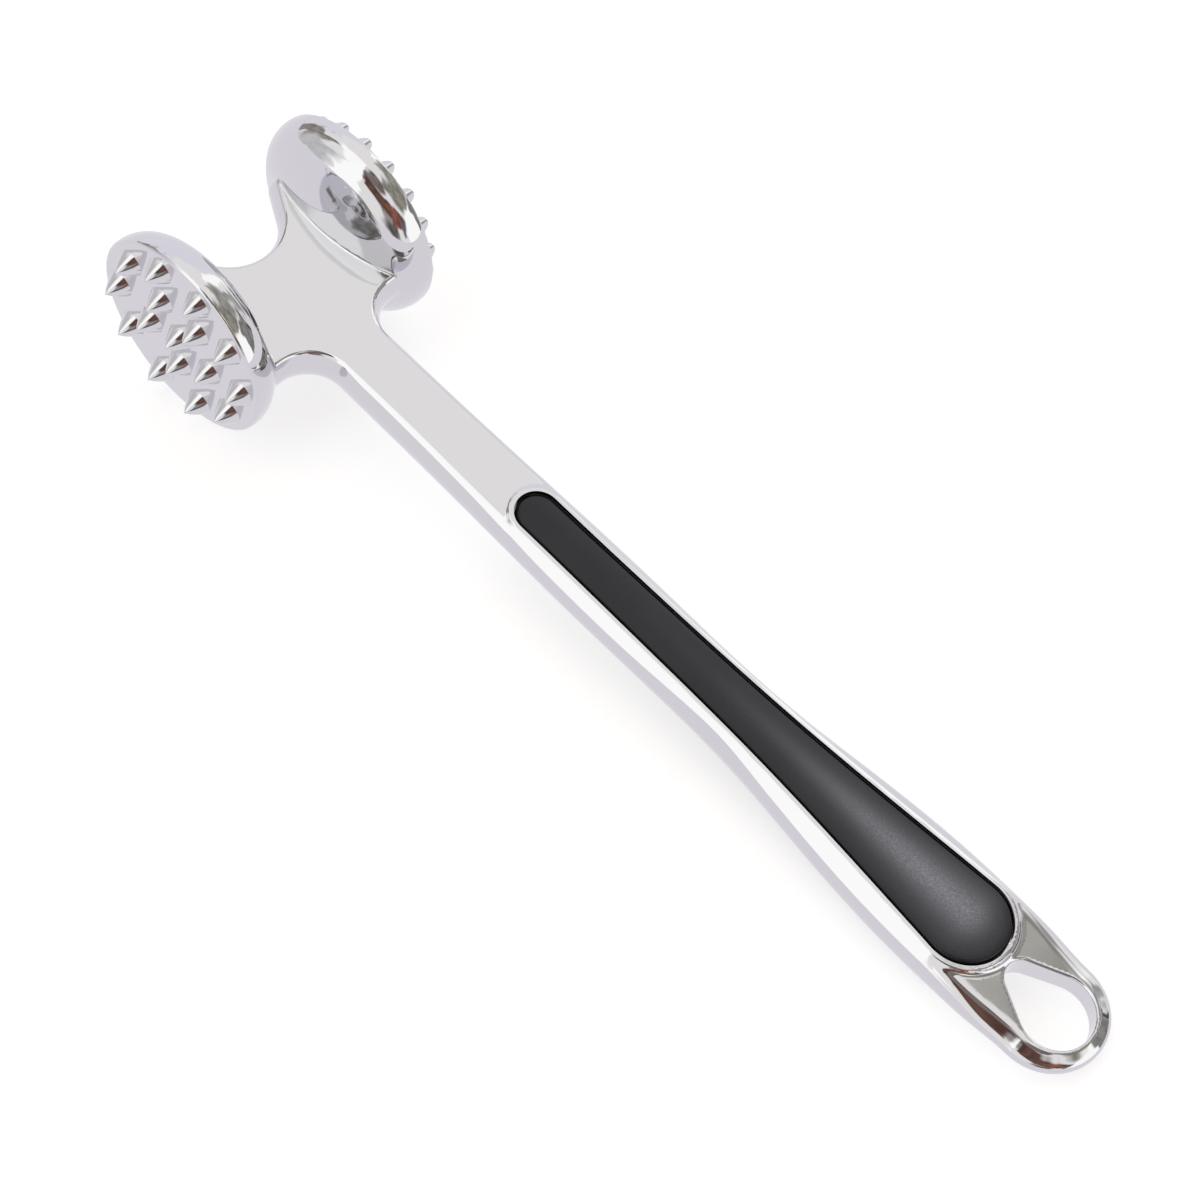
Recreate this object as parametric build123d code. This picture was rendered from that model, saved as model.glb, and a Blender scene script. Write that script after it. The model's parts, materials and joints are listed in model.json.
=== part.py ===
"""Two-faced meat mallet: one plated casting with a soft inlay in each side of its handle.

The tool is drawn in its own frame first: +X runs from the head along the handle, +Y points from
the coarse face to the fine face, and Z = 0 is the casting's mid-plane. It is then laid down the
way it rests on a table, on both head rims and the rear inlay's end, with the origin under its centre.
"""
from build123d import *
from math import acos, asin, atan2, cos, degrees, hypot, radians, sin, sqrt, tan
import os

# ---- head ------------------------------------------------------------------------------------
HEAD_RADIUS = 22.5          # widest radius of each striking disc
RIM_ROUND = 7.0             # radius of the rolled rim
RIM_CENTRE_Y = 22.5         # where the rolled rim is centred, from the head's middle
FACE_Y = 24.1               # flat striking face, from the head's middle
RIM_LEAVES_AT = 66.0        # degrees round the rim where the domed back begins
HUB_RADIUS = 4.5            # the domed back runs in to this radius, inside the neck
HUB_Y = 12.4

# ---- coarse face: sharp cones, one in the middle and two rings ---------------------------------
CONE_TIP_Y = 28.2
CONE_BASE_RADIUS = 3.05
CONE_TIP_RADIUS = 0.25
CONE_RINGS = ((0.0, 1, 0.0), (8.9, 5, 58.0), (17.6, 10, 4.0))    # ring radius, count, first angle

# ---- fine face: small blunt teeth in rings of six, twelve and eighteen --------------------------
TOOTH_TIP_Y = 26.9
TOOTH_BASE_RADIUS = 2.25
TOOTH_TIP_RADIUS = 0.95
TOOTH_RINGS = ((0.0, 1, 0.0), (6.5, 6, 0.0), (13.0, 12, 15.0), (19.2, 18, 15.0))
TEETH_ROOT = 0.5            # how far cones and teeth are rooted below their face

# ---- neck: a flat T between the discs -----------------------------------------------------------
NECK_HALF_THICK = 4.4       # flat front and back of the neck
NECK_BULGE = 1.5            # how far its sides stand out at mid-thickness
CROTCH_CENTRE_X = -13.3     # hollow between the discs, on the side away from the handle
CROTCH_RADIUS = 12.0
CROTCH_TURN = 60.0          # degrees each way before the hollow runs straight on towards the disc
SHOULDER_CENTRE_X = 27.5    # hollow between each disc and the handle
SHOULDER_CENTRE_Y = 14.6
SHOULDER_RADIUS = 9.0
ARM_FAR_X = -13.7           # each arm's far corner, just under the back of its disc
ARM_END_Y = 19.0            # the T's arms end inside the discs
NECK_ROOT_X = 33.0          # the T ends inside the handle's bar

# ---- handle: distance along it, half width of the flat, half width overall, half thickness ------
HANDLE_STATIONS = (
    (24.0, 5.6, 7.1, 4.40),
    (45.0, 5.6, 7.2, 4.40),
    (66.0, 5.9, 7.6, 4.25),
    (86.0, 5.9, 8.15, 4.15),
    (112.0, 5.8, 8.2, 4.20),
    (136.0, 6.3, 8.5, 4.40),
    (160.0, 7.6, 11.0, 4.60),
    (182.0, 9.4, 12.6, 4.75),
    (196.0, 9.9, 12.7, 4.60),
    (212.8, 9.0, 11.9, 3.10),
)

# ---- hanging ring --------------------------------------------------------------------------------
RING_CENTRE_X = HANDLE_STATIONS[-1][0]
RING_FLAT_RADIUS = HANDLE_STATIONS[-1][1]
RING_RADIUS = HANDLE_STATIONS[-1][2]
RING_HALF_THICK = HANDLE_STATIONS[-1][3]
HOLE_CENTRE_X = 214.05
HOLE_RADIUS = 7.45
HOLE_TIP_CENTRE_X = 205.4
HOLE_TIP_RADIUS = 3.6
HOLE_OVERSHOOT = 2.0        # how far the hole's cutter stands out of the ring on each side

# ---- grip inlays ----------------------------------------------------------------------------------
INLAY_HEAD_CENTRE_X = 76.2
INLAY_HEAD_RADIUS = 4.5
INLAY_WAIST = ((108.0, 4.75), (142.0, 5.6))       # along, half width
INLAY_END_CENTRE_X = 190.3
INLAY_END_RADIUS = 9.1
INLAY_FLARE = 4.5           # degrees the sides still open where the round end begins
INLAY_HEAD_TOP = 5.1        # outer face of the inlay from the mid-plane, at its narrow end
INLAY_END_TOP = 5.95        # and at its wide end
INLAY_EDGE_ROUND = 0.8
INLAY_GAP = 0.25            # all-round gap to the pocket
POCKET_FLOOR = 1.0          # half thickness of the web left between the two pockets
SEAT_GAP = 0.03             # between the inlay's underside and the pocket's floor
PEG_RADIUS = 1.6
PEG_GAP = 0.05
PEG_ROOT = 0.2              # how far each peg runs up into its inlay
FRONT_PEGS_X = (88.0, 132.0, 176.0)
REAR_PEGS_X = (110.0, 154.0, 190.0)
RIB_WIDTH = 1.2             # small ribs that centre the inlay in its pocket
RIB_STANDS = 0.2
RIB_HEIGHT = 1.4
RIBS_X = (98.0, 120.0, 142.0, 164.0)
BEYOND = 300.0              # longer than the whole tool, for cutters


def head_disc():
    """One striking disc, turned about Y: flat face, rolled rim and a domed back."""
    rim_centre_r = HEAD_RADIUS - RIM_ROUND
    face_r = rim_centre_r + sqrt(RIM_ROUND ** 2 - (FACE_Y - RIM_CENTRE_Y) ** 2)
    leave = radians(RIM_LEAVES_AT)
    leave_point = (rim_centre_r + RIM_ROUND * cos(leave), RIM_CENTRE_Y - RIM_ROUND * sin(leave))
    face = Line((0, FACE_Y), (face_r, FACE_Y))
    rim = ThreePointArc((face_r, FACE_Y), (HEAD_RADIUS, RIM_CENTRE_Y), leave_point)
    back = TangentArc(leave_point, (HUB_RADIUS, HUB_Y), tangent=(-sin(leave), -cos(leave)))
    hub = Line((HUB_RADIUS, HUB_Y), (0, HUB_Y))
    middle = Line((0, HUB_Y), (0, FACE_Y))
    profile = make_face([face, rim, back, hub, middle])
    return revolve(profile, Axis.Y)


def ring_places(rings):
    """The (x, z) place of each tooth in a set of rings about the disc's middle."""
    places = []
    for radius, count, first in rings:
        for i in range(count):
            turn = radians(first + 360.0 * i / count)
            places.append((radius * cos(turn), radius * sin(turn)))
    return places


def teeth(rings, base_radius, tip_radius, tip_y, side):
    """All the teeth of one face, rooted a little below it. side is +1 or -1 along Y."""
    height = tip_y - FACE_Y + TEETH_ROOT
    slope = (base_radius - tip_radius) / (tip_y - FACE_Y)
    root_radius = base_radius + slope * TEETH_ROOT
    made = []
    for x, z in ring_places(rings):
        foot = Plane(origin=(x, side * (FACE_Y - TEETH_ROOT), z), z_dir=(0, side, 0))
        cone = Cone(root_radius, tip_radius, height, align=(Align.CENTER, Align.CENTER, Align.MIN))
        made.append(foot * cone)
    return made


def neck_outline(grow):
    """The T seen from the front, grown outwards by grow: hollow crotch, two arms, handle root."""
    turn = radians(CROTCH_TURN)
    crotch = CROTCH_RADIUS - grow
    crotch_end = (CROTCH_CENTRE_X + crotch * cos(turn), crotch * sin(turn))
    far_x = ARM_FAR_X - grow
    far_corner = (far_x, crotch_end[1] + (crotch_end[0] - far_x) / tan(turn))
    shoulder = SHOULDER_RADIUS - grow
    near_x = SHOULDER_CENTRE_X - shoulder
    handle_y = SHOULDER_CENTRE_Y - shoulder
    diagonal = shoulder * sqrt(0.5)
    shoulder_middle = (SHOULDER_CENTRE_X - diagonal, SHOULDER_CENTRE_Y - diagonal)
    arm = [
        Line(crotch_end, far_corner),
        Line(far_corner, (far_x, ARM_END_Y)),
        Line((far_x, ARM_END_Y), (near_x, ARM_END_Y)),
        Line((near_x, ARM_END_Y), (near_x, SHOULDER_CENTRE_Y)),
        ThreePointArc((near_x, SHOULDER_CENTRE_Y), shoulder_middle, (SHOULDER_CENTRE_X, handle_y)),
        Line((SHOULDER_CENTRE_X, handle_y), (NECK_ROOT_X, handle_y)),
    ]
    other_arm = [mirror(edge, about=Plane.XZ) for edge in arm]
    other_end = (crotch_end[0], -crotch_end[1])
    crotch_arc = ThreePointArc(other_end, (CROTCH_CENTRE_X + crotch, 0), crotch_end)
    root = Line((NECK_ROOT_X, handle_y), (NECK_ROOT_X, -handle_y))
    return make_face([crotch_arc, *arm, root, *other_arm])


def neck():
    """The T between the discs: flat front and back, sides that bulge at mid-thickness."""
    flat = neck_outline(0)
    middle = neck_outline(NECK_BULGE)
    sections = [Pos(0, 0, -NECK_HALF_THICK) * flat, middle, Pos(0, 0, NECK_HALF_THICK) * flat]
    return loft(sections)


def handle_section(x, flat_half, half_width, half_thick):
    """Cross-section of the handle at x: flats front and back joined by a round side each way."""
    plane = Plane(origin=(x, 0, 0), x_dir=(0, 1, 0), z_dir=(1, 0, 0))
    edges = [
        Line((-flat_half, half_thick), (flat_half, half_thick)),
        ThreePointArc((flat_half, half_thick), (half_width, 0), (flat_half, -half_thick)),
        Line((flat_half, -half_thick), (-flat_half, -half_thick)),
        ThreePointArc((-flat_half, -half_thick), (-half_width, 0), (-flat_half, half_thick)),
    ]
    return plane * make_face(edges)


def handle():
    """The handle's bar, from inside the neck to the middle of the ring."""
    return loft([handle_section(*station) for station in HANDLE_STATIONS])


def ring_end():
    """The round end that the hanging hole goes through: the last handle section turned about Z."""
    half = RING_HALF_THICK
    edges = [
        Line((0, -half), (0, half)),
        Line((0, half), (RING_FLAT_RADIUS, half)),
        ThreePointArc((RING_FLAT_RADIUS, half), (RING_RADIUS, 0), (RING_FLAT_RADIUS, -half)),
        Line((RING_FLAT_RADIUS, -half), (0, -half)),
    ]
    profile = Plane.XZ * make_face(edges)
    return Pos(RING_CENTRE_X, 0, 0) * revolve(profile, Axis.Z)


def hanging_hole():
    """Egg-shaped hole through the ring: the hull of a large and a small circle."""
    apart = HOLE_CENTRE_X - HOLE_TIP_CENTRE_X
    lean = acos((HOLE_RADIUS - HOLE_TIP_RADIUS) / apart)
    side = (-cos(lean), sin(lean))
    large = (HOLE_CENTRE_X + HOLE_RADIUS * side[0], HOLE_RADIUS * side[1])
    small = (HOLE_TIP_CENTRE_X + HOLE_TIP_RADIUS * side[0], HOLE_TIP_RADIUS * side[1])
    edges = [
        ThreePointArc((large[0], -large[1]), (HOLE_CENTRE_X + HOLE_RADIUS, 0), large),
        Line(large, small),
        ThreePointArc(small, (HOLE_TIP_CENTRE_X - HOLE_TIP_RADIUS, 0), (small[0], -small[1])),
        Line((small[0], -small[1]), (large[0], -large[1])),
    ]
    return extrude(make_face(edges), RING_HALF_THICK + HOLE_OVERSHOOT, both=True)


def inlay_outline(grow):
    """Long teardrop outline shared by the inlays and their pockets, grown outwards by grow."""
    head = INLAY_HEAD_RADIUS + grow
    end = INLAY_END_RADIUS + grow
    flare = radians(INLAY_FLARE)
    start = (INLAY_HEAD_CENTRE_X, head)
    finish = (INLAY_END_CENTRE_X - end * sin(flare), end * cos(flare))
    waist = [(x, half + grow) for x, half in INLAY_WAIST]
    side = Spline(start, *waist, finish, tangents=((1, 0), (cos(flare), sin(flare))))
    head_arc = ThreePointArc((start[0], -start[1]), (INLAY_HEAD_CENTRE_X - head, 0), start)
    end_arc = ThreePointArc(finish, (INLAY_END_CENTRE_X + end, 0), (finish[0], -finish[1]))
    return make_face([head_arc, side, end_arc, mirror(side, about=Plane.XZ)])


def above_inlays():
    """Everything over the outer face of the front inlay, which rises a little towards the ring."""
    far_x = INLAY_END_CENTRE_X + INLAY_END_RADIUS
    rise = INLAY_END_TOP - INLAY_HEAD_TOP
    top = Plane(origin=(far_x, 0, INLAY_END_TOP), z_dir=(-rise, 0, far_x - INLAY_HEAD_CENTRE_X))
    return top * Box(2 * BEYOND, BEYOND, BEYOND, align=(Align.CENTER, Align.CENTER, Align.MIN))


def peg_places(front):
    """Where the locating pegs of the front or the rear inlay stand along the handle."""
    return FRONT_PEGS_X if front else REAR_PEGS_X


def inlay(front):
    """One soft inlay: rounded top edge, three locating pegs and small centring ribs on its sides."""
    underside = POCKET_FLOOR + SEAT_GAP
    strip = Pos(0, 0, underside) * extrude(inlay_outline(0), 2 * INLAY_END_TOP) - above_inlays()
    top_edges = strip.faces().sort_by(Axis.Z)[-1].edges()
    strip = fillet(top_edges, INLAY_EDGE_ROUND)
    rib_band = Pos(0, 0, underside) * extrude(inlay_outline(RIB_STANDS), RIB_HEIGHT)
    pieces = [strip]
    for x in RIBS_X:
        slice_box = Pos(x, 0, underside + RIB_HEIGHT / 2) * Box(RIB_WIDTH, BEYOND, RIB_HEIGHT)
        pieces.append(rib_band & slice_box)
    peg_length = 2 * POCKET_FLOOR - 2 * SEAT_GAP
    for x in peg_places(front):
        peg = Cylinder(PEG_RADIUS, peg_length + PEG_ROOT, align=(Align.CENTER, Align.CENTER, Align.MAX))
        pieces.append(Pos(x, 0, underside + PEG_ROOT) * peg)
    body = pieces[0]
    for piece in pieces[1:]:
        body = body + piece
    return body if front else Rot(180, 0, 0) * body


def pocket(front):
    """The space an inlay drops into, with a hole through the web for each of its pegs."""
    cut = Pos(0, 0, POCKET_FLOOR) * extrude(inlay_outline(INLAY_GAP), INLAY_END_TOP)
    for x in peg_places(front):
        cut = cut + Pos(x, 0, 0) * Cylinder(PEG_RADIUS + PEG_GAP, 4 * POCKET_FLOOR)
    return cut if front else Rot(180, 0, 0) * cut


def casting():
    """The whole chrome-plated body: neck, handle, ring, both discs and their teeth."""
    disc = head_disc()
    body = neck() + handle() + ring_end()
    body = body + disc + mirror(disc, about=Plane.XZ)
    cones = teeth(CONE_RINGS, CONE_BASE_RADIUS, CONE_TIP_RADIUS, CONE_TIP_Y, -1)
    blunt = teeth(TOOTH_RINGS, TOOTH_BASE_RADIUS, TOOTH_TIP_RADIUS, TOOTH_TIP_Y, 1)
    body = body + cones + blunt
    return body - hanging_hole() - pocket(True) - pocket(False)


def resting_tilt():
    """Degrees the handle dips when both rims and the wide end of the rear inlay touch the table."""
    reach = INLAY_END_CENTRE_X + INLAY_END_RADIUS - INLAY_EDGE_ROUND
    return degrees(asin(HEAD_RADIUS / hypot(reach, INLAY_END_TOP)) - atan2(INLAY_END_TOP, reach))


def main():
    os.makedirs("parts", exist_ok=True)
    nodes = {
        "body_casting": casting(),
        "front_grip_inlay": inlay(True),
        "rear_grip_inlay": inlay(False),
    }
    laid_down = {name: Rot(0, resting_tilt(), 0) * shape for name, shape in nodes.items()}
    box = laid_down["body_casting"].bounding_box()
    low_z = min(shape.bounding_box().min.Z for shape in laid_down.values())
    origin = Vector((box.min.X + box.max.X) / 2, (box.min.Y + box.max.Y) / 2, low_z)
    for name, shape in laid_down.items():
        export_step(Pos(-origin.X, -origin.Y, -origin.Z) * shape, f"parts/{name}.step")
    print("tilt", round(resting_tilt(), 3), "origin before the move", origin, "size", box.size)
    for name, shape in nodes.items():
        print(name, "volume", round(shape.volume, 1), "solids", len(shape.solids()))


main()
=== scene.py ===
"""Looks of the two-faced meat mallet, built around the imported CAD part.

The plated body is one closed surface of a smooth distance-like function, so that its rolled rims,
hollows and fillets run into each other as they do on a polished casting. It is written in the
tool's own millimetres (+X from head to ring, +Y towards the fine face, Z = 0 the mid-plane) and
laid down into the frame. The two soft inlays are separate pieces seated in its pockets.
"""
import json
from math import asin, cos, hypot, pi, radians, sin, sqrt, tan

import bmesh
import bpy
import numpy as np
from mathutils import Matrix, Vector


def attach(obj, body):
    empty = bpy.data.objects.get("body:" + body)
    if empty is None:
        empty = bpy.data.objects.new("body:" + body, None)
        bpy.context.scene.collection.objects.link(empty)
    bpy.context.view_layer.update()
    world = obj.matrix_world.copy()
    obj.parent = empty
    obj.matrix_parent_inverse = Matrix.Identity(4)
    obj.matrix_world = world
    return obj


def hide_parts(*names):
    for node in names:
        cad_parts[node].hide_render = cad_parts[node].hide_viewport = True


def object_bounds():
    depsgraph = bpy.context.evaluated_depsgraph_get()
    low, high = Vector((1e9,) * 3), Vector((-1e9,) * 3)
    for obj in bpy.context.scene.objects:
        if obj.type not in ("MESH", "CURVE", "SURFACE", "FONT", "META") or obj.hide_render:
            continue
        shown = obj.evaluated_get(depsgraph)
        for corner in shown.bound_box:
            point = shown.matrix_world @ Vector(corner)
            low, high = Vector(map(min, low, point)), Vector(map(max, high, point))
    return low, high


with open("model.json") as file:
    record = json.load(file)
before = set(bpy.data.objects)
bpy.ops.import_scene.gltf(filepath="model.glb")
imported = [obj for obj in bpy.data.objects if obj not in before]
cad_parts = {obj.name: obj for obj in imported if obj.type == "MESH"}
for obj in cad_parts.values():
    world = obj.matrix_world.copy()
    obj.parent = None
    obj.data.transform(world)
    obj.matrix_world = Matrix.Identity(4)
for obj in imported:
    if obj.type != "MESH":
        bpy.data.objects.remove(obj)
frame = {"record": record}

CAD_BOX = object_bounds()
MM = 0.001

# ---- head (mm, tool frame) -------------------------------------------------------------------
HEAD_RADIUS = 22.5
RIM_ROUND = 7.0
RIM_CENTRE_Y = 22.5
FACE_Y = 24.1
DOME_RADIUS = 44.8          # back of the disc
DOME_CENTRE_Y = 57.0
FACE_EDGE_SOFT = 0.6        # rounding between the rim and the flat face

# ---- teeth -----------------------------------------------------------------------------------
CONE_TIP_Y = 28.2
CONE_BASE_RADIUS = 3.05
CONE_TIP_RADIUS = 0.25
CONE_TIP_ROUND = 0.2
CONE_BULGE = 0.15           # how far a cone's side stands out at half its height
CONE_SIDES = 48
CONE_RINGS = ((0.0, 1, 0.0), (8.9, 5, 58.0), (17.6, 10, 4.0))    # ring radius, count, first angle
TOOTH_TIP_Y = 26.9
TOOTH_BASE_RADIUS = 2.25
TOOTH_TIP_RADIUS = 0.95
TOOTH_TIP_ROUND = 0.45
TOOTH_SIDES = 32
TOOTH_RINGS = ((0.0, 1, 0.0), (6.5, 6, 0.0), (13.0, 12, 15.0), (19.2, 18, 15.0))
TEETH_ROOT = 0.5            # how far cones and teeth are rooted below their face
TIP_STEPS = 5               # rings in each rounded tip

# ---- neck ------------------------------------------------------------------------------------
NECK_HALF_THICK = 4.4
NECK_BULGE = 1.5
CROTCH_CENTRE_X = -13.3
CROTCH_RADIUS = 12.0
CROTCH_TURN = radians(60.0)
SHOULDER_CENTRE_X = 27.5
SHOULDER_CENTRE_Y = 14.6
SHOULDER_RADIUS = 9.0
ARM_FAR_X = -13.7
ARM_END_Y = 19.0
ARM_CORNER_SOFT = 1.0
NECK_ROOT_X = 33.0
EDGE_SOFT = 0.55            # rounding between the flats and the sides
ROOT_FILLET = 0.5           # between the neck and the discs

# ---- handle: along, half width of the flat, half width overall, half thickness ----------------
HANDLE_STATIONS = np.array((
    (24.0, 5.6, 7.1, 4.40),
    (45.0, 5.6, 7.2, 4.40),
    (66.0, 5.9, 7.6, 4.25),
    (86.0, 5.9, 8.15, 4.15),
    (112.0, 5.8, 8.2, 4.20),
    (136.0, 6.3, 8.5, 4.40),
    (160.0, 7.6, 11.0, 4.60),
    (182.0, 9.4, 12.6, 4.62),
    (194.0, 9.9, 12.7, 4.25),
    (203.0, 9.4, 12.55, 3.55),
    (212.8, 8.6, 11.9, 3.10),
))
RING_CENTRE_X = HANDLE_STATIONS[-1, 0]
HOLE_CENTRE_X = 214.05
HOLE_RADIUS = 7.45
HOLE_TIP_CENTRE_X = 205.4
HOLE_TIP_RADIUS = 3.6
HOLE_EDGE_SOFT = 0.7
RING_BEVEL = radians(30.0)  # slope of the ring's outer flank, from level
BEVEL_X = (188.0, 206.0)    # along the handle, where that slope comes in
BEVEL_CLEAR = 0.9           # how far it stands off the handle before that
BEVEL_SOFT = 0.5

# ---- grip inlays -----------------------------------------------------------------------------
INLAY_HEAD_CENTRE_X = 76.2
INLAY_HEAD_RADIUS = 4.5
INLAY_WAIST = ((108.0, 4.75), (142.0, 5.6))
INLAY_END_CENTRE_X = 190.3
INLAY_END_RADIUS = 9.1
INLAY_FLARE = radians(4.5)
INLAY_HEAD_TOP = 5.1
INLAY_END_TOP = 5.95
INLAY_EDGE_ROUND = 0.7
GROOVE_WIDTH = 0.25         # shadow groove left between each inlay and the rim of its pocket
GROOVE_DEPTH = 0.8
INLAY_CROWN = 0.95          # how much lower the top is at its edges than along its middle
INLAY_GAP = 0.25            # all-round gap to the pocket
POCKET_FLOOR = 1.0          # half thickness of the web between the two pockets
POCKET_REACH = 8.0          # the pocket's cutter ends here, clear of the lip
SEAT_GAP = 0.03             # between the inlay's underside and the pocket's floor
PEG_RADIUS = 1.6
PEG_CHAMFER = 0.25
PEG_ROOT = 0.4              # how far each peg runs up into its inlay
PEG_GAP = 0.05
PEG_SIDES = 40
PEGS_X = {"front": (88.0, 132.0, 176.0), "rear": (110.0, 154.0, 190.0)}
LIP_WIDTH = 1.15            # raised lip of plating round each pocket
LIP_FILLET = 1.0
LIP_TOP_SOFT = 0.35
LIP_FLANK = 0.35            # how far its flank spreads for each mm down
LIP_RISE = ((70.0, 4.55), (90.0, 4.42), (112.0, 4.42), (160.0, 4.76), (182.0, 4.84), (202.0, 4.78))

HEAD_POINTS = 24            # points round a quarter of the teardrop outline's small end
SIDE_POINTS = 100           # along each side
END_POINTS = 32             # round half of the large end
EDGE_POINTS = 8             # up an inlay's rounded edge

# ---- grid the body's surface is found on: (place, step to the next place) ----------------------
FINE_STEP = 0.5
LONG_STEP = 1.2
EDGE_STEP = 0.4
GRID_X = ((-23.4, FINE_STEP), (40.0, LONG_STEP), (67.0, FINE_STEP), (82.0, LONG_STEP),
          (180.0, FINE_STEP), (225.6, 0.0))
GRID_Y = ((-25.2, FINE_STEP), (25.2, 0.0))
GRID_Z = ((-23.4, FINE_STEP), (-6.0, EDGE_STEP), (6.0, FINE_STEP), (23.4, 0.0))
MOST_MOVE = 0.3             # a point is pulled no further than this on to the surface at once
LEAST_STEEP = 0.3           # the function counts as at least this steep
ON_SURFACE = 0.05           # points nearer than this to the surface take its direction

# ---- colours -----------------------------------------------------------------------------------
PLATING = (0.69, 0.69, 0.715)
RUBBER_DARK = (0.007, 0.007, 0.008, 1.0)
RUBBER_PALE = (0.014, 0.014, 0.0155, 1.0)
RUBBER_SHEEN = (0.92, 0.92, 1.0, 1.0)
FLOOR_TONE = (0.62, 0.62, 0.62, 1.0)
FLOOR_GLOW = 0.60
FLOOR_HALF_SIZE = 4.0       # metres
FLOOR_DROP = 0.0002         # metres, clear of the mallet's underside

# ---- studio the plating reflects, in degrees and display colours ------------------------------
# Soft panels: middle longitude and latitude, half sizes, slant, softness, colour.
PANELS = (
    (135, 16, 32, 30, 0.0, 14, (209, 207, 217)),
    (98, 8, 6, 50, 0.0, 3, (247, 247, 248)),
    (180, 19, 16, 22, 0.8, 5, (134, 129, 126)),
    (-148, 15, 22, 20, 0.3, 12, (182, 181, 184)),
    (-150, 72, 35, 18, 0.0, 8, (247, 247, 247)),
    (50, 47, 38, 16, 0.0, 12, (140, 137, 132)),
    (73, 63, 12, 8, 0.0, 7, (158, 156, 151)),
    (20, 49, 22, 15, 0.0, 10, (130, 127, 119)),
    (79, 20, 7, 24, 0.0, 5, (150, 150, 151)),
    (46, 12, 15, 15, 0.0, 5, (122, 121, 120)),
    (65, 12, 4, 15, 0.0, 4, (70, 70, 70)),
    (13, 11, 17, 22, 0.0, 5, (247, 247, 247)),
    (-45, 69, 46, 13, 0.0, 10, (108, 101, 100)),
    (-45, 18, 13, 22, 0.0, 10, (142, 137, 137)),
    (-42, 8, 12, 9, 0.0, 8, (88, 84, 85)),
    (-46, 40, 36, 14, -0.5, 7, (90, 66, 60)),
    (-27, 27, 11, 14, 0.0, 8, (122, 80, 68)),
    (-12, 16, 5, 15, 0.0, 5, (88, 90, 102)),
    (-105, 33, 14, 62, 0.0, 5, (249, 249, 249)),
)
OPEN_COLOUR = (219, 217, 218)
BORDER_SWAY = 34.0              # how far the panels' borders wander
FLOOR_COLOUR = (207, 204, 212)  # floor as the plating shows it

# ---- camera and the grips' lamp ----------------------------------------------------------------
CAMERA_AZIMUTH = radians(36.381)
CAMERA_ELEVATION = radians(58.333)
CAMERA_ROLL = radians(9.348)
CAMERA_DISTANCE = 0.6365        # metres
CAMERA_AIM = (-1.59, -5.57, 0.0)    # mm from the middle of the CAD box
LAMP_SPOT_X = 184.0             # along the front grip, where its sheen is brightest
LAMP_DIRECTION = (-0.041, 0.465, 0.885)
LAMP_DISTANCE = 0.2             # metres
LAMP_SIZE = 0.06
LAMP_WATTS = 0.19


def to_frame():
    """Matrix that lays the tool's millimetres down into the frame's metres."""
    up = frame["record"]["mounts"][0]["axis"]
    tilt = asin(up[0])
    low = CAD_BOX[0]
    head = low + Vector((HEAD_RADIUS, CONE_TIP_Y, HEAD_RADIUS)) * MM
    return Matrix.Translation(head) @ Matrix.Rotation(tilt, 4, "Y") @ Matrix.Scale(MM, 4)


# ---- smooth solid maths -----------------------------------------------------------------------
def soft_max(a, b, soft):
    """The larger of two values, with the corner between them rounded."""
    return np.maximum(a, b) + np.maximum(soft - np.abs(a - b), 0.0) ** 2 / (4.0 * soft)


def soft_min(a, b, soft):
    """The smaller of two values, with the corner between them rounded."""
    return -soft_max(-a, -b, soft)


def smooth_step(value, low, high):
    """Rises softly from 0 at low to 1 at high."""
    t = np.clip((value - low) / (high - low), 0.0, 1.0)
    return t * t * (3.0 - 2.0 * t)


def spline_slopes(xs, ys, first, last):
    """Slopes at the knots of a cubic spline whose end slopes are given."""
    count = len(xs)
    steps = np.diff(xs)
    rises = np.diff(ys) / steps
    system = np.eye(count)
    right = np.zeros(count)
    right[0] = first
    right[-1] = last
    for i in range(1, count - 1):
        system[i, i - 1] = steps[i]
        system[i, i] = 2.0 * (steps[i - 1] + steps[i])
        system[i, i + 1] = steps[i - 1]
        right[i] = 3.0 * (rises[i - 1] * steps[i] + rises[i] * steps[i - 1])
    return np.linalg.solve(system, right)


def spline_value(x, xs, ys, slopes):
    """Value of a cubic spline at x, held constant beyond its ends."""
    x = np.clip(x, xs[0], xs[-1])
    i = np.clip(np.searchsorted(xs, x) - 1, 0, len(xs) - 2)
    step = xs[i + 1] - xs[i]
    t = (x - xs[i]) / step
    return (
        (1 + 2 * t) * (1 - t) ** 2 * ys[i]
        + t * (1 - t) ** 2 * step * slopes[i]
        + t * t * (3 - 2 * t) * ys[i + 1]
        + t * t * (t - 1) * step * slopes[i + 1]
    )


# ---- the body's function: negative inside the metal --------------------------------------------
def disc_field(x, y, z):
    """Both striking discs: domed back, rolled rim and flat face."""
    r = np.hypot(x, z)
    h = np.abs(y)
    rim_r = HEAD_RADIUS - RIM_ROUND
    between = DOME_CENTRE_Y - RIM_CENTRE_Y
    back_r = rim_r / hypot(rim_r, between)
    back_h = between / hypot(rim_r, between)
    on_rim = (r - rim_r) * back_h + (h - RIM_CENTRE_Y) * back_r > 0.0
    rim = np.hypot(r - rim_r, h - RIM_CENTRE_Y) - RIM_ROUND
    dome = np.hypot(r, h - DOME_CENTRE_Y) - DOME_RADIUS
    return soft_max(np.where(on_rim, rim, dome), h - FACE_Y, FACE_EDGE_SOFT)


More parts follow.
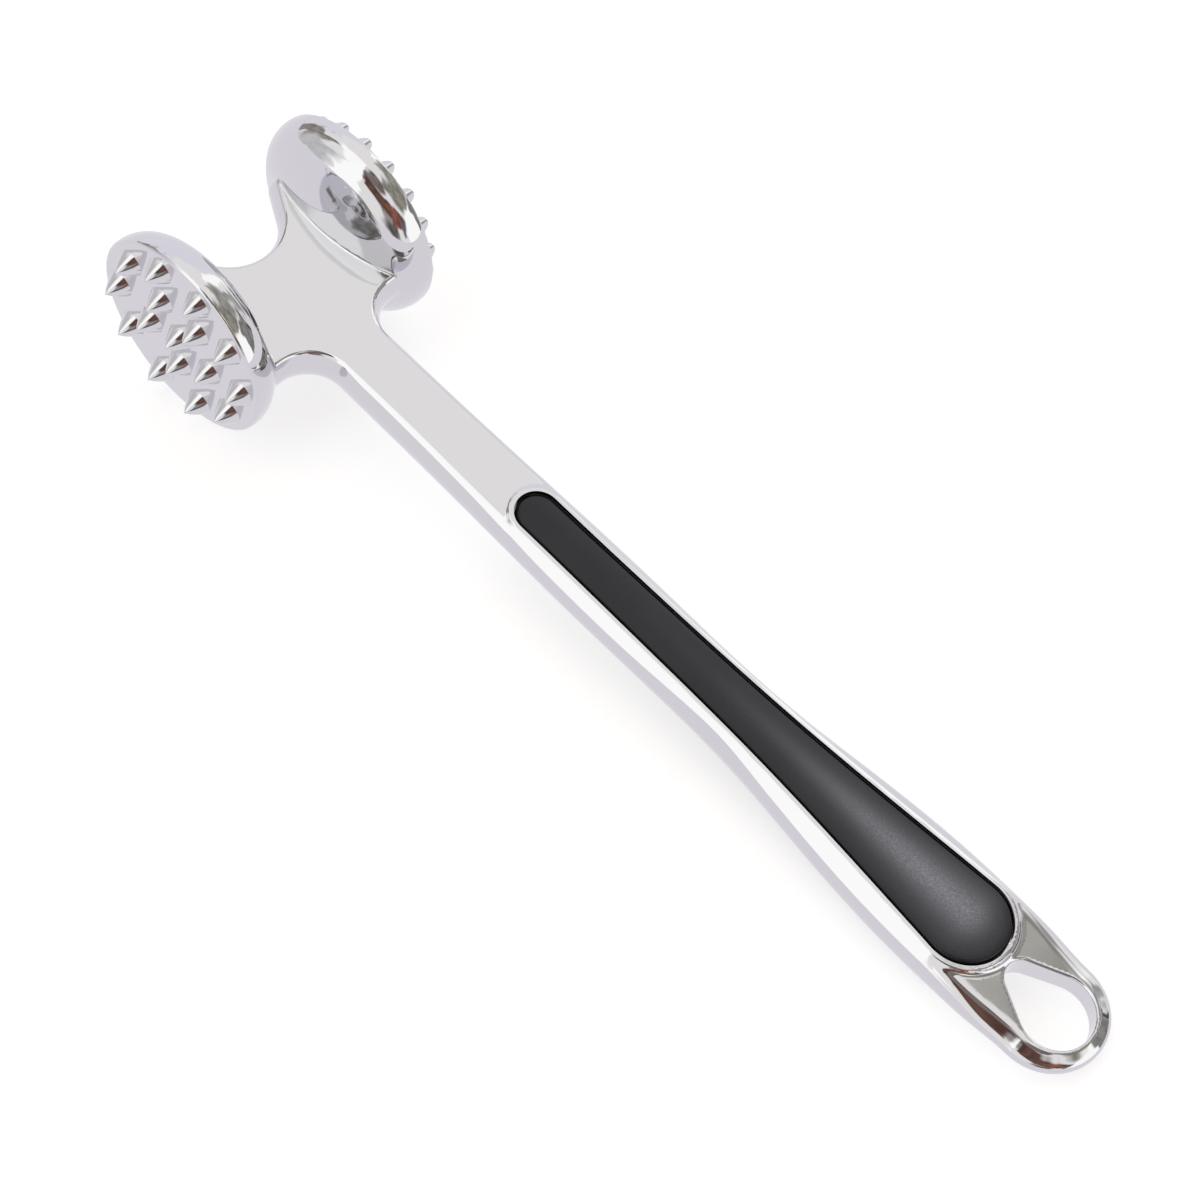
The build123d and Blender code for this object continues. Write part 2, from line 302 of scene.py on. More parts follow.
def neck_field(x, y, z):
    """The T between the discs, with sides that bulge at mid-thickness."""
    h = np.abs(y)
    along = x - CROTCH_CENTRE_X
    beyond_turn = np.arctan2(h, along) > CROTCH_TURN
    straight = along * cos(CROTCH_TURN) + h * sin(CROTCH_TURN)
    crotch = CROTCH_RADIUS - np.where(beyond_turn, straight, np.hypot(along, h))
    to_side_x = np.maximum(SHOULDER_CENTRE_X - x, 0.0)
    to_side_y = np.maximum(SHOULDER_CENTRE_Y - h, 0.0)
    shoulder = SHOULDER_RADIUS - np.hypot(to_side_x, to_side_y)
    outline = np.maximum(soft_max(crotch, ARM_FAR_X - x, ARM_CORNER_SOFT), shoulder)
    level = np.clip(z / NECK_HALF_THICK, -1.0, 1.0)
    side = outline - NECK_BULGE * (1.0 - level ** 2)
    solid = soft_max(side, np.abs(z) - NECK_HALF_THICK, EDGE_SOFT)
    return np.maximum(solid, h - ARM_END_Y)


# Spline through the handle's stations.
STATION_X = HANDLE_STATIONS[:, 0]
STATION_SLOPES = [spline_slopes(STATION_X, HANDLE_STATIONS[:, i], 0.0, 0.0) for i in (1, 2, 3)]


def handle_field(x, y, z):
    """The handle's bar and the round end that the hanging hole goes through."""
    flat, wide, thick = (
        spline_value(x, STATION_X, HANDLE_STATIONS[:, i + 1], STATION_SLOPES[i]) for i in range(3)
    )
    across = np.where(x > RING_CENTRE_X, np.hypot(x - RING_CENTRE_X, y), np.abs(y))
    stand = wide - flat
    radius = (thick ** 2 + stand ** 2) / (2.0 * stand)
    centre = wide - radius
    side = np.hypot(np.maximum(across - centre, 0.0), z) - radius
    bevel = (across - flat) * sin(RING_BEVEL) + (np.abs(z) - thick) * cos(RING_BEVEL)
    bevel -= BEVEL_CLEAR * (1.0 - smooth_step(x, *BEVEL_X))
    return soft_max(soft_max(side, bevel, BEVEL_SOFT), np.abs(z) - thick, EDGE_SOFT)


# Spline along an inlay's side, between its two round ends.
WAIST_X = np.array(
    [INLAY_HEAD_CENTRE_X]
    + [x for x, half in INLAY_WAIST]
    + [INLAY_END_CENTRE_X - INLAY_END_RADIUS * sin(INLAY_FLARE)]
)
WAIST_HALF = np.array(
    [INLAY_HEAD_RADIUS] + [half for x, half in INLAY_WAIST] + [INLAY_END_RADIUS * cos(INLAY_FLARE)]
)
WAIST_SLOPES = spline_slopes(WAIST_X, WAIST_HALF, 0.0, tan(INLAY_FLARE))


def outline_field(x, y):
    """Distance outside the long teardrop outline shared by the inlays and their pockets."""
    side = np.abs(y) - spline_value(x, WAIST_X, WAIST_HALF, WAIST_SLOPES)
    head = np.hypot(x - INLAY_HEAD_CENTRE_X, y) - INLAY_HEAD_RADIUS
    end = np.hypot(x - INLAY_END_CENTRE_X, y) - INLAY_END_RADIUS
    return np.where(x < WAIST_X[0], head, np.where(x > WAIST_X[-1], end, side))


def lip_field(x, y, z):
    """A low raised lip round each pocket that falls away into the sides and the ring."""
    above = np.abs(z) - np.interp(x, *np.transpose(LIP_RISE))
    flank = outline_field(x, y) - LIP_WIDTH + LIP_FLANK * above
    return soft_max(flank, above, LIP_TOP_SOFT)


def hole_field(x, y):
    """Distance outside the egg-shaped hanging hole, the hull of a large and a small circle."""
    h = np.abs(y)
    apart = HOLE_CENTRE_X - HOLE_TIP_CENTRE_X
    lean = (HOLE_RADIUS - HOLE_TIP_RADIUS) / apart
    rise = sqrt(1.0 - lean * lean)
    along = (x - HOLE_CENTRE_X) * rise + h * lean
    large = np.hypot(x - HOLE_CENTRE_X, h) - HOLE_RADIUS
    small = np.hypot(x - HOLE_TIP_CENTRE_X, h) - HOLE_TIP_RADIUS
    side = -(x - HOLE_CENTRE_X) * lean + h * rise - HOLE_RADIUS
    return np.where(along > 0.0, large, np.where(along < -apart * rise, small, side))


def body_field(x, y, z):
    """The whole casting before its teeth are added and its pockets cut."""
    neck = neck_field(x, y, z)
    handle = handle_field(x, y, z)
    join = smooth_step(x, SHOULDER_CENTRE_X, NECK_ROOT_X)
    bar = neck * (1.0 - join) + handle * join
    bar = soft_min(bar, lip_field(x, y, z), LIP_FILLET)
    body = soft_min(bar, disc_field(x, y, z), ROOT_FILLET)
    return soft_max(body, -hole_field(x, y), HOLE_EDGE_SOFT)


def field_gradient(points):
    """Unit outward direction of the body's function at each point, and how steep it is there."""
    step = 0.01
    out = np.empty_like(points)
    for axis in range(3):
        shift = np.zeros(3)
        shift[axis] = step
        out[:, axis] = body_field(*(points + shift).T) - body_field(*(points - shift).T)
    size = np.linalg.norm(out, axis=1, keepdims=True)
    return out / np.maximum(size, 1e-12), size[:, 0] / (2.0 * step)


def axis_steps(stops):
    """Grid lines through (place, step to the next place) stops."""
    lines = []
    for (low, step), (high, _) in zip(stops[:-1], stops[1:]):
        lines.append(np.linspace(low, high, max(2, round((high - low) / step)), endpoint=False))
    lines.append([stops[-1][0]])
    return np.concatenate(lines)


def surface_net(grids, field):
    """Points and four-sided faces of the field's zero surface, with one point per crossed cell."""
    inside = field < 0.0
    cell_shape = tuple(n - 1 for n in field.shape)
    filled = np.zeros(cell_shape, np.int8)
    for corner in np.ndindex(2, 2, 2):
        filled += inside[tuple(slice(c, c + n) for c, n in zip(corner, cell_shape))]
    active = (filled > 0) & (filled < 8)
    cells = np.argwhere(active)
    number = np.full(cell_shape, -1)
    number[active] = np.arange(len(cells))
    total = np.zeros((len(cells), 3))
    count = np.zeros(len(cells))
    for axis in range(3):
        others = [a for a in range(3) if a != axis]
        for b, c in np.ndindex(2, 2):
            start = cells.copy()
            start[:, others[0]] += b
            start[:, others[1]] += c
            end = start.copy()
            end[:, axis] += 1
            low = field[tuple(start.T)]
            high = field[tuple(end.T)]
            crossed = (low < 0.0) != (high < 0.0)
            t = np.where(crossed, low / np.where(crossed, low - high, 1.0), 0.0)
            place = np.stack([grids[a][start[:, a]] for a in range(3)], 1)
            place[:, axis] += t * (grids[axis][end[:, axis]] - grids[axis][start[:, axis]])
            total += place * crossed[:, None]
            count += crossed
    points = total / count[:, None]
    faces = []
    for axis in range(3):
        b, c = (axis + 1) % 3, (axis + 2) % 3
        low = np.moveaxis(inside, axis, 0)[:-1]
        high = np.moveaxis(inside, axis, 0)[1:]
        edges = np.argwhere(low != high)
        order = [axis] + [a for a in range(3) if a != axis]
        at = np.empty_like(edges)
        for i, a in enumerate(order):
            at[:, a] = edges[:, i]
        outward = inside[tuple(at.T)]
        ring = []
        for back_b, back_c in ((1, 1), (0, 1), (0, 0), (1, 0)):
            cell = at.copy()
            cell[:, b] -= back_b
            cell[:, c] -= back_c
            ring.append(number[tuple(cell.T)])
        ring = np.stack(ring, 1)
        ring[~outward] = ring[~outward][:, ::-1]
        faces.append(ring)
    return points, np.concatenate(faces)


def mesh_from(name, points, faces):
    """A mesh of the given points and faces."""
    mesh = bpy.data.meshes.new(name)
    mesh.from_pydata(np.asarray(points).tolist(), [], np.asarray(faces).tolist())
    mesh.validate()
    return mesh


def add_object(name, data):
    """A new object in the scene, holding a mesh, a lamp or a camera."""
    obj = bpy.data.objects.new(name, data)
    bpy.context.scene.collection.objects.link(obj)
    return obj


def body_surface():
    """Closed mesh of the casting's outside, every point pulled on to the function's surface."""
    grids = [axis_steps(stops) for stops in (GRID_X, GRID_Y, GRID_Z)]
    layers = [body_field(x, *np.meshgrid(grids[1], grids[2], indexing="ij")) for x in grids[0]]
    points, faces = surface_net(grids, np.stack(layers))
    for _ in range(3):
        outward, steep = field_gradient(points)
        move = np.clip(body_field(*points.T) / np.maximum(steep, LEAST_STEEP), -MOST_MOVE, MOST_MOVE)
        points -= outward * move[:, None]
    return mesh_from("casting", points, faces)


# ---- teeth ------------------------------------------------------------------------------------
def ring_places(rings):
    """The (x, z) place of each tooth in a set of rings about the disc's middle."""
    places = []
    for radius, count, first in rings:
        for i in range(count):
            turn = radians(first) + 2.0 * pi * i / count
            places.append((radius * cos(turn), radius * sin(turn)))
    return places


def finished_mesh(bm, name):
    """Turns a built shape into a mesh with its faces pointing outwards."""
    bmesh.ops.recalc_face_normals(bm, faces=bm.faces)
    mesh = bpy.data.meshes.new(name)
    bm.to_mesh(mesh)
    bm.free()
    return mesh


def lathe(bm, profile, sides, place):
    """Adds a closed turned shape. profile is (radius, height) from the axis below to the axis above."""
    rings = []
    for radius, height in profile:
        if radius == 0.0:
            rings.append([bm.verts.new(place @ Vector((0.0, 0.0, height)))])
            continue
        ring = []
        for i in range(sides):
            turn = 2.0 * pi * i / sides
            ring.append(bm.verts.new(place @ Vector((radius * cos(turn), radius * sin(turn), height))))
        rings.append(ring)
    for low, high in zip(rings[:-1], rings[1:]):
        for i in range(sides):
            j = (i + 1) % sides
            corners = [low[i % len(low)], low[j % len(low)], high[j % len(high)], high[i % len(high)]]
            bm.faces.new(list(dict.fromkeys(corners)))


def tooth_profile(base_radius, tip_radius, height, tip_round, bulge):
    """A slightly bulging cone from below the face up to a small rounded tip."""
    slope = (base_radius - tip_radius) / height
    profile = [(0.0, -TEETH_ROOT), (base_radius + slope * TEETH_ROOT, -TEETH_ROOT)]
    for share in (0.0, 0.2, 0.4, 0.6, 0.8):
        straight = base_radius + (tip_radius - base_radius) * share
        profile.append((straight + 4.0 * bulge * share * (1.0 - share), height * share))
    for i in range(TIP_STEPS):
        turn = pi / 2.0 * i / TIP_STEPS
        radius = tip_radius - tip_round * (1.0 - cos(turn))
        profile.append((radius, height - tip_round * (1.0 - sin(turn))))
    profile.append((0.0, height))
    return profile


def teeth_mesh():
    """All the teeth of both faces, in one mesh of separate closed shapes."""
    bm = bmesh.new()
    cone = tooth_profile(CONE_BASE_RADIUS, CONE_TIP_RADIUS, CONE_TIP_Y - FACE_Y, CONE_TIP_ROUND, CONE_BULGE)
    blunt = tooth_profile(TOOTH_BASE_RADIUS, TOOTH_TIP_RADIUS, TOOTH_TIP_Y - FACE_Y, TOOTH_TIP_ROUND, 0.0)
    for rings, profile, sides, side in (
        (CONE_RINGS, cone, CONE_SIDES, -1),
        (TOOTH_RINGS, blunt, TOOTH_SIDES, 1),
    ):
        for x, z in ring_places(rings):
            stand = Matrix.Rotation(-side * pi / 2.0, 4, "X")
            lathe(bm, profile, sides, Matrix.Translation((x, side * FACE_Y, z)) @ stand)
    return finished_mesh(bm, "teeth")


# ---- pockets and inlays -------------------------------------------------------------------------
def outline_points(grow):
    """(x, y, foot on the axis) of the teardrop outline grown by grow, once round."""
    points = []
    radius = INLAY_HEAD_RADIUS + grow
    for i in range(HEAD_POINTS):
        turn = pi - pi / 2.0 * i / HEAD_POINTS
        points.append((INLAY_HEAD_CENTRE_X + radius * cos(turn), radius * sin(turn), INLAY_HEAD_CENTRE_X))
    for i in range(SIDE_POINTS):
        x = WAIST_X[0] + (WAIST_X[-1] - WAIST_X[0]) * i / SIDE_POINTS
        half = float(spline_value(np.array(x), WAIST_X, WAIST_HALF, WAIST_SLOPES))
        points.append((x, half + grow, x))
    radius = INLAY_END_RADIUS + grow
    for i in range(END_POINTS + 1):
        turn = (pi / 2.0 + INLAY_FLARE) * (1.0 - i / END_POINTS)
        foot = INLAY_END_CENTRE_X if i else WAIST_X[-1]
        points.append((INLAY_END_CENTRE_X + radius * cos(turn), radius * sin(turn), foot))
    mirrored = [(x, -y, foot) for x, y, foot in points[-2:0:-1]]
    return points + mirrored


def top_height(x):
    """Outer face of the front inlay along its middle, from the mid-plane."""
    far_x = INLAY_END_CENTRE_X + INLAY_END_RADIUS
    rise = (INLAY_END_TOP - INLAY_HEAD_TOP) / (far_x - INLAY_HEAD_CENTRE_X)
    return INLAY_END_TOP + rise * (x - far_x)


def add_ring_stack(bm, loops):
    """Faces between closed loops of points of equal count; returns the loops' vertices."""
    made = [[bm.verts.new(p) for p in loop] for loop in loops]
    for low, high in zip(made[:-1], made[1:]):
        for i in range(len(low)):
            j = (i + 1) % len(low)
            bm.faces.new((low[i], low[j], high[j], high[i]))
    return made


def inlay_body(bm):
    """The strip itself: flat underside, stepped sides, rounded edge and a gently crowned top."""
    outline = outline_points(0.0)
    underside = POCKET_FLOOR + SEAT_GAP
    rows = []
    for share in (1.0, 0.5, 0.0):
        rows.append([(foot + (x - foot) * (1.0 - share), y * (1.0 - share), underside)
                     for x, y, foot in outline])
    wall_top = [top_height(x) - INLAY_CROWN - INLAY_EDGE_ROUND for x, y, foot in outline]
    for share in (0.5, 1.0):
        rows.append([(x, y, underside + (top - GROOVE_DEPTH - underside) * share)
                     for (x, y, foot), top in zip(outline, wall_top)])
    depths = [GROOVE_WIDTH]
    lifts = [-GROOVE_DEPTH]
    for i in range(EDGE_POINTS + 1):
        turn = pi / 2.0 * i / EDGE_POINTS
        depths.append(GROOVE_WIDTH + INLAY_EDGE_ROUND * (1.0 - cos(turn)))
        lifts.append(INLAY_EDGE_ROUND * sin(turn))
    for depth, lift in zip(depths, lifts):
        row = []
        for (x, y, foot), top in zip(outline, wall_top):
            keep = 1.0 - depth / hypot(x - foot, y)
            crown = INLAY_CROWN * (1.0 - keep * keep)
            row.append((foot + (x - foot) * keep, y * keep, top + lift + crown))
        rows.append(row)
    edge = GROOVE_WIDTH + INLAY_EDGE_ROUND
    first_keep = [1.0 - edge / hypot(x - foot, y) for x, y, foot in outline]
    for share in (0.85, 0.7, 0.55, 0.4, 0.25, 0.12, 0.0):
        row = []
        for (x, y, foot), keep_edge in zip(outline, first_keep):
            keep = keep_edge * share
            px = foot + (x - foot) * keep
            row.append((px, y * keep, top_height(px) - INLAY_CROWN * keep * keep))
        rows.append(row)
    add_ring_stack(bm, rows)


def turned_pegs(name, profile, places_x):
    """A mesh of one turned shape stood at each place along the handle."""
    bm = bmesh.new()
    for x in places_x:
        lathe(bm, profile, PEG_SIDES, Matrix.Translation((x, 0.0, 0.0)))
    return finished_mesh(bm, name)


def pegs_mesh(front):
    """The locating pegs under one inlay, chamfered at their ends."""
    top = POCKET_FLOOR + SEAT_GAP + PEG_ROOT
    bottom = -POCKET_FLOOR + SEAT_GAP
    profile = [
        (0.0, bottom),
        (PEG_RADIUS - PEG_CHAMFER, bottom),
        (PEG_RADIUS, bottom + PEG_CHAMFER),
        (PEG_RADIUS, top),
        (0.0, top),
    ]
    return turned_pegs("pegs", profile, PEGS_X["front" if front else "rear"])


def finish_inlay(name, front):
    """One inlay with its locating pegs, laid down in the frame."""
    bm = bmesh.new()
    inlay_body(bm)
    bmesh.ops.remove_doubles(bm, verts=bm.verts, dist=0.002)
    strip = add_object(name, finished_mesh(bm, name))
    combine(strip, pegs_mesh(front), "UNION")
    turn = Matrix.Identity(4) if front else Matrix.Rotation(pi, 4, "X")
    strip.data.transform(TO_FRAME @ turn)
    shade(strip.data, 40.0)
    return strip


def pocket_mesh(front):
    """Cutter for the space an inlay drops into."""
    bm = bmesh.new()
    outline = outline_points(INLAY_GAP)
    heights = (POCKET_FLOOR, POCKET_REACH / 2.0, POCKET_REACH)
    loops = [[(x, y, height) for x, y, foot in outline] for height in heights]
    made = add_ring_stack(bm, loops)
    bm.faces.new(made[0][::-1])
    bm.faces.new(made[-1])
    if not front:
        bm.transform(Matrix.Rotation(pi, 4, "X"))
    return finished_mesh(bm, "pocket")


def peg_holes_mesh():
    """Cutters for the holes through the web that the pegs of both inlays stand in."""
    half = POCKET_FLOOR * 1.5
    radius = PEG_RADIUS + PEG_GAP
    profile = [(0.0, -half), (radius, -half), (radius, half), (0.0, half)]
    return turned_pegs("peg_holes", profile, PEGS_X["front"] + PEGS_X["rear"])


def combine(obj, tool_mesh, operation):
    """Joins a closed mesh to obj or cuts it away. New faces have no skin mark."""
    tool = add_object("tool", tool_mesh)
    step = obj.modifiers.new("solid", "BOOLEAN")
    step.operation = operation
    step.solver = "MANIFOLD"
    step.object = tool
    graph = bpy.context.evaluated_depsgraph_get()
    result = bpy.data.meshes.new_from_object(obj.evaluated_get(graph))
    obj.modifiers.clear()
    obj.data = result
    bpy.data.objects.remove(tool)


def shade(mesh, angle):
    """Smooth shading that stops at edges sharper than angle degrees."""
    mesh.polygons.foreach_set("use_smooth", [True] * len(mesh.polygons))
    mesh.set_sharp_from_angle(angle=radians(angle))


def build_body():
    """The plated casting: surface, teeth joined on, pockets and peg holes cut."""
    body = add_object("plated_casting", body_surface())
    body.data.attributes.new("skin", "INT", "FACE")
    body.data.attributes["skin"].data.foreach_set("value", [1] * len(body.data.polygons))
    combine(body, teeth_mesh(), "UNION")
    combine(body, pocket_mesh(True), "DIFFERENCE")
    combine(body, pocket_mesh(False), "DIFFERENCE")
    combine(body, peg_holes_mesh(), "DIFFERENCE")
    shade(body.data, 35.0)
    follow_surface(body.data)
    body.data.transform(TO_FRAME)
    return body


def follow_surface(mesh):
    """Shading directions of the skin's corners, taken from the body's function."""
    points = np.empty(len(mesh.vertices) * 3)
    mesh.vertices.foreach_get("co", points)
    points = points.reshape(-1, 3)
    outward, steep = field_gradient(points)
    corner_vertex = np.empty(len(mesh.loops), np.int32)
    mesh.loops.foreach_get("vertex_index", corner_vertex)
    skin = np.empty(len(mesh.polygons), np.int32)
    mesh.attributes["skin"].data.foreach_get("value", skin)
    sizes = np.empty(len(mesh.polygons), np.int32)
    mesh.polygons.foreach_get("loop_total", sizes)
    on_skin = np.repeat(skin, sizes) == 1
    off_surface = np.abs(body_field(*points.T)) / np.maximum(steep, LEAST_STEEP) > ON_SURFACE
    normals = outward[corner_vertex]
    normals[~on_skin | off_surface[corner_vertex]] = 0.0
    mesh.normals_split_custom_set(normals.tolist())


# ---- materials ----------------------------------------------------------------------------------
def link_or_set(tree, socket, value):
    """Gives a socket a plain value or links it to another node."""
    if isinstance(value, (int, float, tuple)):
        socket.default_value = value
    else:
        tree.links.new(value, socket)


def maths(tree, operation, *values):
    """Output of a maths node."""
    node = tree.nodes.new("ShaderNodeMath")
    node.operation = operation
    for socket, value in zip(node.inputs, values):
        link_or_set(tree, socket, value)
    return node.outputs[0]


def remap(tree, value, low, high, to_low, to_high, smooth=False):
    """Output of a map range node: low to high becomes to_low to to_high."""
    node = tree.nodes.new("ShaderNodeMapRange")
    node.interpolation_type = "SMOOTHSTEP" if smooth else "LINEAR"
    for socket, item in zip(node.inputs, (value, low, high, to_low, to_high)):
        link_or_set(tree, socket, item)
    return node.outputs[0]


def noise(tree, coords, scale, detail, rough=0.5):
    """Output of a noise texture, about 0.5 in the middle."""
    node = tree.nodes.new("ShaderNodeTexNoise")
    tree.links.new(coords, node.inputs["Vector"])
    node.inputs["Scale"].default_value = scale
    node.inputs["Detail"].default_value = detail
    node.inputs["Roughness"].default_value = rough
    return node.outputs["Fac"]


def bump(tree, height, strength, distance, before=None):
    """Surface direction changed by a height, on top of an earlier change."""
    node = tree.nodes.new("ShaderNodeBump")
    node.inputs["Strength"].default_value = strength
    node.inputs["Distance"].default_value = distance
    tree.links.new(height, node.inputs["Height"])
    if before is not None:
        tree.links.new(before, node.inputs["Normal"])
    return node.outputs["Normal"]


def new_material(name):
    """A new material with its node tree, shader and object coordinates."""
    material = bpy.data.materials.new(name)
    material.use_nodes = True
    tree = material.node_tree
    coords = tree.nodes.new("ShaderNodeTexCoord").outputs["Object"]
    return material, tree, tree.nodes["Principled BSDF"], coords


def chrome_material():
    """Bright plating: a touch of haze, the casting's long soft waves and a faint fine grain."""
    material, tree, shader, coords = new_material("bright_chrome_plate")
    shader.inputs["Base Color"].default_value = (*PLATING, 1.0)
    shader.inputs["Metallic"].default_value = 1.0
    haze = remap(tree, noise(tree, coords, 90.0, 5.0), 0.35, 0.7, 0.025, 0.06)
    tree.links.new(haze, shader.inputs["Roughness"])
    waves = bump(tree, noise(tree, coords, 70.0, 2.0), 0.10, 0.0006)
    grain = bump(tree, noise(tree, coords, 1600.0, 3.0), 0.03, 0.00005, waves)
    tree.links.new(grain, shader.inputs["Normal"])
    return material


def rubber_material():
    """Matte black moulded rubber: fine speckle, slow tone changes and a soft sheen."""
    material, tree, shader, coords = new_material("soft_grip_rubber")
    cloud = noise(tree, coords, 60.0, 4.0)
    speckle = noise(tree, coords, 2600.0, 3.0, 0.6)
    tone = tree.nodes.new("ShaderNodeValToRGB")
    tone.color_ramp.elements[0].position = 0.3
    tone.color_ramp.elements[0].color = RUBBER_DARK
    tone.color_ramp.elements[1].position = 0.7
    tone.color_ramp.elements[1].color = RUBBER_PALE
    mixed = maths(tree, "ADD", maths(tree, "MULTIPLY", cloud, 0.6), maths(tree, "MULTIPLY", speckle, 0.4))
    shader.inputs["Specular IOR Level"].default_value = 0.35
    shader.inputs["Specular Tint"].default_value = RUBBER_SHEEN
    tree.links.new(mixed, tone.inputs["Fac"])
    tree.links.new(tone.outputs["Color"], shader.inputs["Base Color"])
    tree.links.new(remap(tree, speckle, 0.3, 0.7, 0.31, 0.40), shader.inputs["Roughness"])
    tree.links.new(bump(tree, speckle, 0.06, 0.00008), shader.inputs["Normal"])
    return material


# ---- studio ---------------------------------------------------------------------------------------
def seen(red, green, blue):
    """Brightness of the surroundings that the plating shows as this display colour."""
    linear = []
    for value in (red, green, blue):
        share = value / 255.0
        linear.append(share / 12.92 if share <= 0.04045 else ((share + 0.055) / 1.055) ** 2.4)
    return tuple(level / plate for level, plate in zip(linear, PLATING)) + (1.0,)


def colour_mix(tree, factor, first, second, blend="MIX"):
    """Output of a colour mix node."""
    node = tree.nodes.new("ShaderNodeMix")
    node.data_type = "RGBA"
    node.blend_type = blend
    sockets = (node.inputs["Factor"], node.inputs[6], node.inputs[7])
    for socket, value in zip(sockets, (factor, first, second)):
        link_or_set(tree, socket, value)
    return node.outputs[2]


def camera_ray(tree):
    """1 where the camera looks straight at something, 0 in reflections."""
    return tree.nodes.new("ShaderNodeLightPath").outputs["Is Camera Ray"]


def build_world():
    """Studio seen by the plating: soft panels on a light dome. The camera itself sees plain white."""
    world = bpy.data.worlds.new("studio")
    bpy.context.scene.world = world
    world.use_nodes = True
    tree = world.node_tree
    direction = tree.nodes.new("ShaderNodeTexCoord").outputs["Generated"]
    parts = tree.nodes.new("ShaderNodeSeparateXYZ")
    tree.links.new(direction, parts.inputs[0])
    to_degrees = 180.0 / pi
    turn = maths(tree, "ARCTAN2", parts.outputs[1], parts.outputs[0])
    longitude = maths(tree, "MULTIPLY", turn, to_degrees)
    latitude = maths(tree, "MULTIPLY", maths(tree, "ARCSINE", parts.outputs[2]), to_degrees)
    sway = maths(tree, "SUBTRACT", noise(tree, direction, 3.0, 1.0, 0.5), 0.5)
    longitude = maths(tree, "ADD", longitude, maths(tree, "MULTIPLY", sway, BORDER_SWAY))
    latitude = maths(tree, "ADD", latitude, maths(tree, "MULTIPLY", sway, -BORDER_SWAY))
    colour = seen(*OPEN_COLOUR)
    for lon, lat, lon_half, lat_half, slant, soft, shade_of in PANELS:
        along = maths(tree, "WRAP", maths(tree, "SUBTRACT", longitude, float(lon)), 180.0, -180.0)
        lean = maths(tree, "MULTIPLY", along, slant)
        up = maths(tree, "SUBTRACT", maths(tree, "SUBTRACT", latitude, float(lat)), lean)
        masks = []
        for offset, half in ((along, lon_half), (up, lat_half)):
            away = maths(tree, "ABSOLUTE", offset)
            masks.append(remap(tree, away, half + soft / 2.0, half - soft / 2.0, 0.0, 1.0, True))
        colour = colour_mix(tree, maths(tree, "MULTIPLY", *masks), colour, seen(*shade_of))
    brightness = tree.nodes.new("ShaderNodeRGBToBW")
    tree.links.new(colour, brightness.inputs[0])
    darkness = remap(tree, brightness.outputs[0], 0.15, 0.9, 1.0, 0.0, True)
    gain = remap(tree, noise(tree, direction, 7.0, 3.0, 0.5), 0.35, 0.65, 0.7, 1.25, True)
    mottled = colour_mix(tree, darkness, colour, gain, "MULTIPLY")
    shown = colour_mix(tree, camera_ray(tree), mottled, (1.0, 1.0, 1.0, 1.0))
    tree.links.new(shown, tree.nodes["Background"].inputs["Color"])


def build_floor():
    """Plain pale floor, wide enough to fill every view. The plating shows it a little darker."""
    bm = bmesh.new()
    bmesh.ops.create_grid(bm, x_segments=8, y_segments=8, size=FLOOR_HALF_SIZE)
    mesh = bpy.data.meshes.new("floor")
    bm.to_mesh(mesh)
    bm.free()
    floor = add_object("floor", mesh)
    floor.location.z = CAD_BOX[0].z - FLOOR_DROP
    material, tree, shader, _ = new_material("pale_floor")
    shader.inputs["Base Color"].default_value = FLOOR_TONE
    shader.inputs["Roughness"].default_value = 0.9
    shader.inputs["Specular IOR Level"].default_value = 0.0
    shader.inputs["Emission Color"].default_value = (1.0, 1.0, 1.0, 1.0)
    shader.inputs["Emission Strength"].default_value = FLOOR_GLOW
    glow = tree.nodes.new("ShaderNodeEmission")
    glow.inputs["Color"].default_value = seen(*FLOOR_COLOUR)
    mix = tree.nodes.new("ShaderNodeMixShader")
    tree.links.new(camera_ray(tree), mix.inputs[0])
    tree.links.new(glow.outputs[0], mix.inputs[1])
    tree.links.new(shader.outputs[0], mix.inputs[2])
    tree.links.new(mix.outputs[0], tree.nodes["Material Output"].inputs["Surface"])
    mesh.materials.append(material)


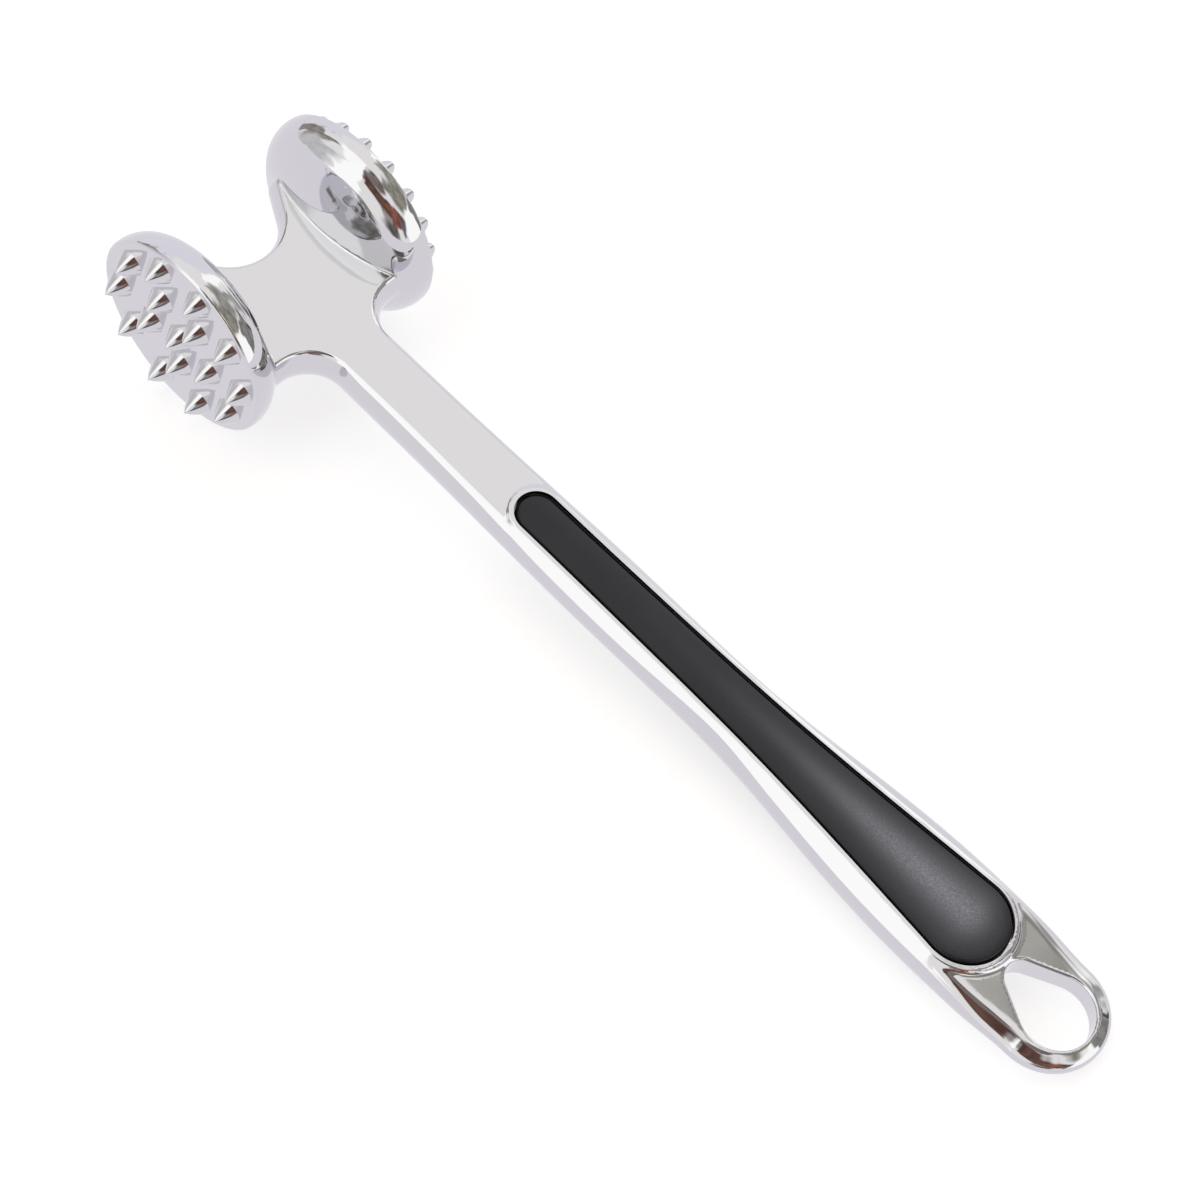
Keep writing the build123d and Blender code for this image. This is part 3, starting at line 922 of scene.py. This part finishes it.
def build_grip_light(receivers):
    """A small soft lamp near the wide end of the front grip that lights only the grips."""
    data = bpy.data.lights.new("grip_light", "AREA")
    data.shape = "DISK"
    data.size = LAMP_SIZE
    data.energy = LAMP_WATTS
    lamp = add_object("grip_light", data)
    spot = TO_FRAME @ Vector((LAMP_SPOT_X, 0.0, INLAY_END_TOP))
    away = Vector(LAMP_DIRECTION)
    lamp.location = spot + away * LAMP_DISTANCE
    lamp.rotation_euler = away.to_track_quat("Z", "Y").to_euler()
    lamp.visible_camera = False
    group = bpy.data.collections.new("grips")
    for piece in receivers:
        group.objects.link(piece)
    lamp.light_linking.receiver_collection = group


def build_camera():
    """Camera at the photographed angle, aimed a little beside the middle of the tool."""
    aim = (CAD_BOX[0] + CAD_BOX[1]) / 2.0 + Vector(CAMERA_AIM) * MM
    level_reach = cos(CAMERA_ELEVATION)
    back = Vector((
        sin(CAMERA_AZIMUTH) * level_reach,
        -cos(CAMERA_AZIMUTH) * level_reach,
        sin(CAMERA_ELEVATION),
    ))
    level = Vector((0.0, 0.0, 1.0)).cross(back).normalized()
    upright = back.cross(level)
    right = level * cos(CAMERA_ROLL) + upright * sin(CAMERA_ROLL)
    up = upright * cos(CAMERA_ROLL) - level * sin(CAMERA_ROLL)
    data = bpy.data.cameras.new("camera")
    data.lens = 100.0
    data.sensor_width = 36.0
    data.clip_start = 0.01
    camera = add_object("camera", data)
    turned = Matrix((right, up, back)).transposed().to_4x4()
    camera.matrix_world = Matrix.Translation(aim + back * CAMERA_DISTANCE) @ turned
    bpy.context.scene.camera = camera


TO_FRAME = to_frame()
build_camera()
build_world()
build_floor()
bpy.context.scene.view_settings.view_transform = "Standard"

casting = build_body()
casting.data.materials.clear()
casting.data.materials.append(chrome_material())
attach(casting, "root")
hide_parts("body_casting")

rubber = rubber_material()
grips = []
for name, front in (("front_grip", True), ("rear_grip", False)):
    grip = finish_inlay(name, front)
    grip.data.materials.clear()
    grip.data.materials.append(rubber)
    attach(grip, "root")
    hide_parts(name + "_inlay")
    grips.append(grip)
build_grip_light(grips)
